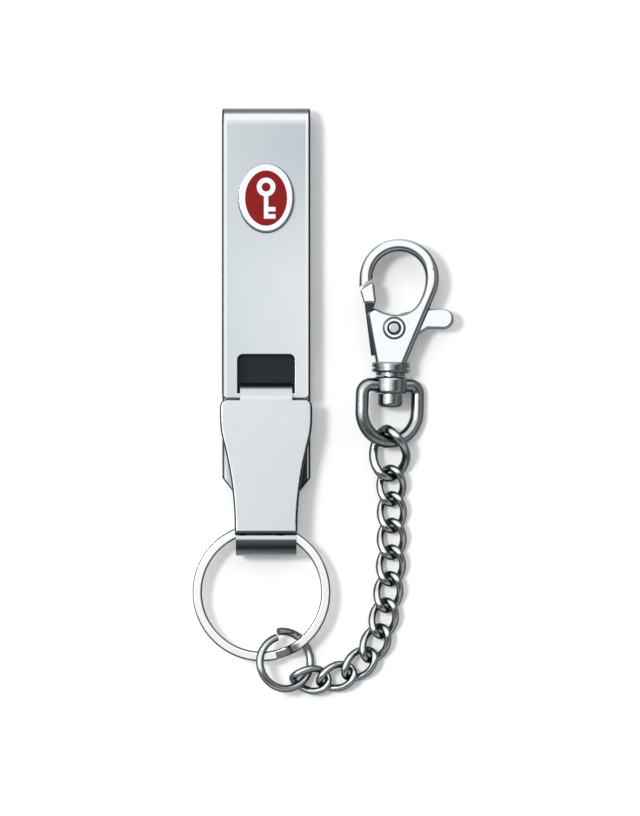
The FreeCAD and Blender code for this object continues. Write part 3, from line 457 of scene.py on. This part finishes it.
def dress_nodes():
    """Gives every node its material. A node without an entry is a link of the chain."""
    # Chain and swivel: painted shade on their steep sides
    chain = flanked_material("chain_plate", chain_plate, wire_flank_facing, painted_flank_shade)
    swivel = flanked_material("shaded_swivel_plate", shaded_swivel_plate, wire_flank_facing, painted_flank_shade)
    enamel = enamel_material()
    materials = {
        "clip_body": strip_material(),
        "key_hanger": hanger_material(),
        "badge_base": badge_material(),
        "badge_enamel": enamel,
        "badge_enamel_dot": enamel,
        # Split ring: painted shade on its steep sides
        "split_ring": flanked_material("ring_plate", ring_plate, ring_flank_facing, painted_ring_side_shade),
        "swivel_bail": swivel,
        "swivel_stud": swivel,
        "hook_body": hook_material(),
        "trigger": trigger_material(),
        "trigger_rivet": rivet_material(),
        "trigger_spring": metal("spring_wire", spring_steel)[0],
    }
    for name in nodes:
        mesh = nodes[name].data
        mesh.materials.clear()
        mesh.materials.append(materials.get(name, chain))


def make_floor():
    """Pale floor under the part, part of which looks white whatever light falls on it."""
    side = floor_half_side
    mesh = bpy.data.meshes.new("floor")
    corners = [(x, y, cad_low.z) for x, y in ((-side, -side), (side, -side), (side, side), (-side, side))]
    mesh.from_pydata(corners, [], [(0, 1, 2, 3)])
    floor = bpy.data.objects.new("floor", mesh)
    bpy.context.scene.collection.objects.link(floor)
    material, tree, shader = new_material("pale_floor")
    shader.inputs["Base Color"].default_value = floor_color
    shader.inputs["Roughness"].default_value = floor_roughness
    shader.inputs["Specular IOR Level"].default_value = 0.0
    rays = tree.nodes.new("ShaderNodeLightPath")
    seen = calculated(tree, "MAXIMUM", rays.outputs["Is Camera Ray"], rays.outputs["Is Glossy Ray"])
    seen = calculated(tree, "MAXIMUM", seen, rays.outputs["Is Transmission Ray"])
    white = tree.nodes.new("ShaderNodeEmission")
    white.inputs["Strength"].default_value = 1.0
    mix = tree.nodes.new("ShaderNodeMixShader")
    tree.links.new(mapped(tree, seen, 0.0, 1.0, 0.0, floor_white_share), mix.inputs["Fac"])
    tree.links.new(shader.outputs["BSDF"], mix.inputs[1])
    tree.links.new(white.outputs["Emission"], mix.inputs[2])
    tree.links.new(mix.outputs["Shader"], tree.nodes["Material Output"].inputs["Surface"])
    mesh.materials.append(material)


def graded(tree, source, levels):
    """Light whose level follows a value between -1 and 1."""
    stops = []
    for place, level in levels:
        stops.append(((place + 1) / 2, (*[level * tint for tint in soft_light_tint], 1)))
    light = ramp(tree, stops)
    tree.links.new(mapped(tree, source, -1.0, 1.0), light.inputs["Fac"])
    return light.outputs["Color"]


def make_world():
    """One broad soft light on one side of the sky, and a dimmer one low down all round."""
    world = bpy.data.worlds.new("studio")
    bpy.context.scene.world = world
    world.use_nodes = True
    tree = world.node_tree
    place = tree.nodes.new("ShaderNodeTexCoord")
    facing = tree.nodes.new("ShaderNodeVectorMath")
    facing.operation = "DOT_PRODUCT"
    facing.inputs[1].default_value = towards(soft_light_tilt_deg, soft_light_bearing_deg)
    tree.links.new(place.outputs["Generated"], facing.inputs[0])
    height = tree.nodes.new("ShaderNodeSeparateXYZ")
    tree.links.new(place.outputs["Generated"], height.inputs["Vector"])
    sky = tree.nodes.new("ShaderNodeMix")
    sky.data_type = "RGBA"
    sky.blend_type = "LIGHTEN"
    sky.inputs["Factor"].default_value = 1.0
    tree.links.new(graded(tree, facing.outputs["Value"], soft_light_levels), sky.inputs["A"])
    tree.links.new(graded(tree, height.outputs["Z"], low_light_levels), sky.inputs["B"])
    tree.links.new(sky.outputs["Result"], tree.nodes["Background"].inputs["Color"])


def make_key_light():
    """Small round lamp above and to the left, aimed at the middle of the part."""
    light = bpy.data.lights.new("key", "AREA")
    light.shape = "DISK"
    light.size = key_size
    light.energy = key_power
    lamp = bpy.data.objects.new("key", light)
    bpy.context.scene.collection.objects.link(lamp)
    out = towards(key_tilt_deg, key_bearing_deg)
    centre = (cad_low + cad_high) / 2
    lamp.location = centre + out * key_distance
    lamp.rotation_mode = "QUATERNION"
    lamp.rotation_quaternion = (-out).to_track_quat("-Z", "Y")


def make_camera():
    """Camera straight above, placed so that the clip's origin falls on its pixel."""
    data = bpy.data.cameras.new("camera")
    data.sensor_width = sensor_width_mm
    long_side = image_height_px / px_per_metre
    data.lens = sensor_width_mm * camera_height / long_side
    camera = bpy.data.objects.new("camera", data)
    bpy.context.scene.collection.objects.link(camera)
    x = (image_width_px / 2 - origin_px[0]) / px_per_metre
    y = (origin_px[1] - image_height_px / 2) / px_per_metre
    camera.location = (x, y, camera_height)
    bpy.context.scene.camera = camera


bpy.context.scene.view_settings.view_transform = "Standard"
dress_nodes()
make_floor()
make_world()
make_key_light()
make_camera()
